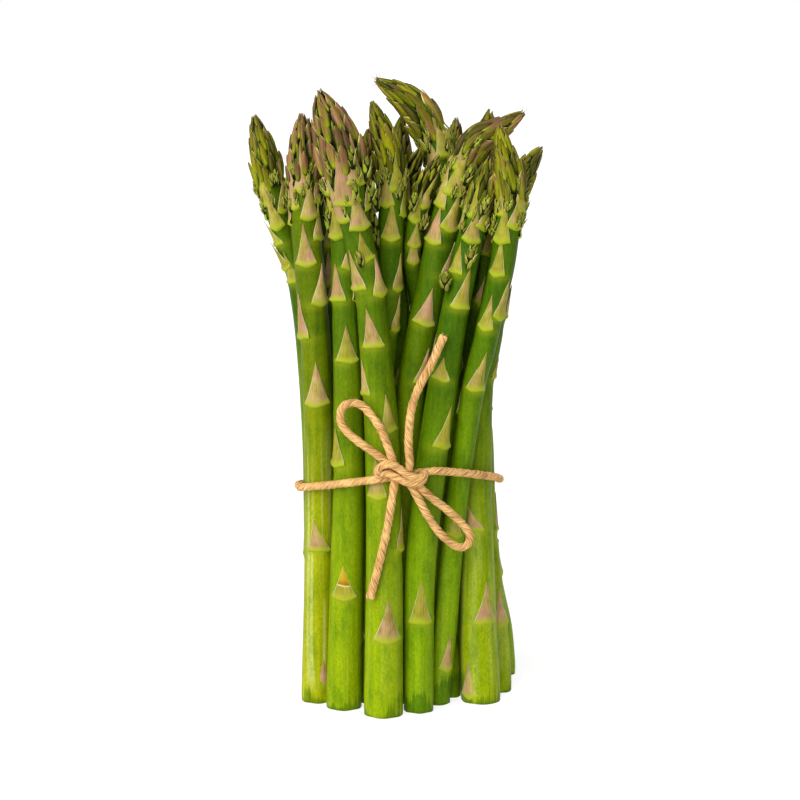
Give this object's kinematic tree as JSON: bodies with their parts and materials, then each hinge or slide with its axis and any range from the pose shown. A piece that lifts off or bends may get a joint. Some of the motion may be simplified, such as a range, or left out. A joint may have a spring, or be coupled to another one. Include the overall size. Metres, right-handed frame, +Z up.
{
  "type": "bundle of asparagus",
  "caption": "Bundle of fresh green asparagus spears standing on their cut ends, tied round the middle with a ring of twine in a bow.",
  "frame": {"origin": "bottom centre of the bundle's bounding box, on the plane of the cut ends", "axes": "+Z up along the spears, -Y towards the side with the bow, +X to the right seen from there"},
  "size_m": [0.101, 0.0635, 0.2214],
  "materials": {
    "asparagus": null,
    "twine": "rough twisted natural fibre, tan"
  },
  "bodies": {
    "root": {"spear_front_1": "asparagus", "spear_front_2": "asparagus", "spear_front_3": "asparagus", "spear_front_4": "asparagus", "spear_front_5": "asparagus", "spear_front_6": "asparagus", "spear_second_1": "asparagus", "spear_second_2": "asparagus", "spear_second_3": "asparagus", "spear_second_4": "asparagus", "spear_second_5": "asparagus", "spear_third_1": "asparagus", "spear_third_2": "asparagus", "spear_third_3": "asparagus", "spear_third_4": "asparagus", "spear_third_5": "asparagus", "spear_third_6": "asparagus", "spear_third_7": "asparagus", "spear_back_1": "asparagus", "spear_back_2": "asparagus", "spear_back_3": "asparagus", "spear_back_4": "asparagus", "twine": "twine"}
  },
  "joints": []
}
